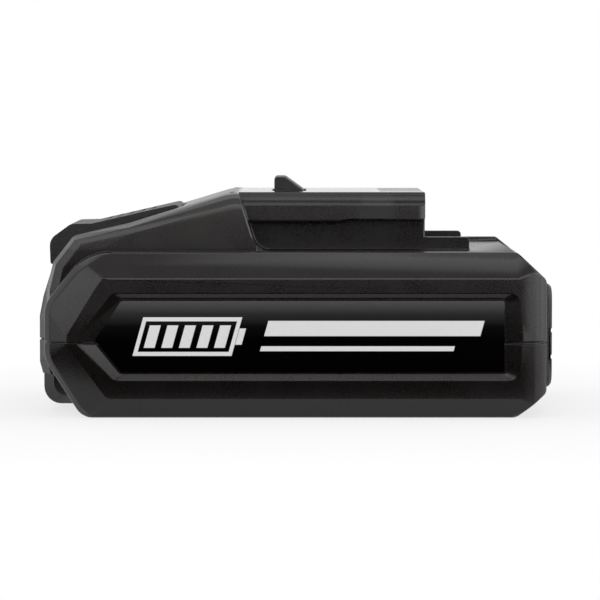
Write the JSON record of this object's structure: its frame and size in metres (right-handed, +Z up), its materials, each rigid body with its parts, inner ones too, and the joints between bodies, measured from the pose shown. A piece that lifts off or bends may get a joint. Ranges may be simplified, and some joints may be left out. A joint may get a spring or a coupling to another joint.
{
  "type": "power tool battery pack",
  "caption": "Slide-on rechargeable battery pack for cordless tools, with moulded housing, slide rails, sprung release latch, cells in holders and a protection board.",
  "frame": {"origin": "middle of the overall box, at the underside", "axes": "+X along the slide towards the terminal end, +Y across, +Z up from the underside to the rails"},
  "size_m": [0.116, 0.0742, 0.0532],
  "materials": {
    "housing_plastic": "fine textured black",
    "latch_plastic": "rough textured black",
    "bumper_rubber": "satin dark grey",
    "label_film": "gloss black film",
    "screw_steel": "zinc plated",
    "spring_steel": "drawn wire",
    "block_plastic": "satin",
    "contact_copper": "bright copper alloy",
    "board_laminate": "green solder mask",
    "chip_resin": "moulded resin",
    "shunt_metal": "bare alloy",
    "sensor_resin": "dipped",
    "holder_plastic": "satin grey",
    "cell_wrap": "shrink sleeve",
    "insulator_fibre": "fibre board",
    "link_nickel": "bright nickel",
    "foam": "closed-cell foam"
  },
  "bodies": {
    "pack": {"lower_shell": "housing_plastic", "upper_shell": "housing_plastic", "rear_bumper": "bumper_rubber", "label_right": "label_film", "label_left": "label_film", "housing_screws": "screw_steel", "latch_spring_right": "spring_steel", "latch_spring_left": "spring_steel", "terminal_block": "block_plastic", "contact_positive": "contact_copper", "contact_negative": "contact_copper", "signal_contacts": "contact_copper", "circuit_board": "board_laminate", "board_screws": "screw_steel", "power_transistors": "chip_resin", "control_chip": "chip_resin", "current_shunt": "shunt_metal", "thermistor": "sensor_resin", "cell_holder_right": "holder_plastic", "cell_holder_left": "holder_plastic", "cell_1": "cell_wrap", "cell_2": "cell_wrap", "cell_3": "cell_wrap", "cell_4": "cell_wrap", "cell_5": "cell_wrap", "cell_insulators": "insulator_fibre", "tab_positive": "link_nickel", "link_1_2": "link_nickel", "link_2_3": "link_nickel", "link_3_4": "link_nickel", "link_4_5": "link_nickel", "tab_negative": "link_nickel", "floor_foam": "foam"},
    "latch": {"release_latch": "latch_plastic"}
  },
  "joints": [
    {"name": "latch_slide", "type": "slide", "parent": "pack", "child": "latch", "axis": [0, 0, -1], "range_m": [0, 0.004], "stiffness_N_per_m": 800, "springref_m": -0.004, "deforming": ["latch_spring_right", "latch_spring_left"]}
  ]
}
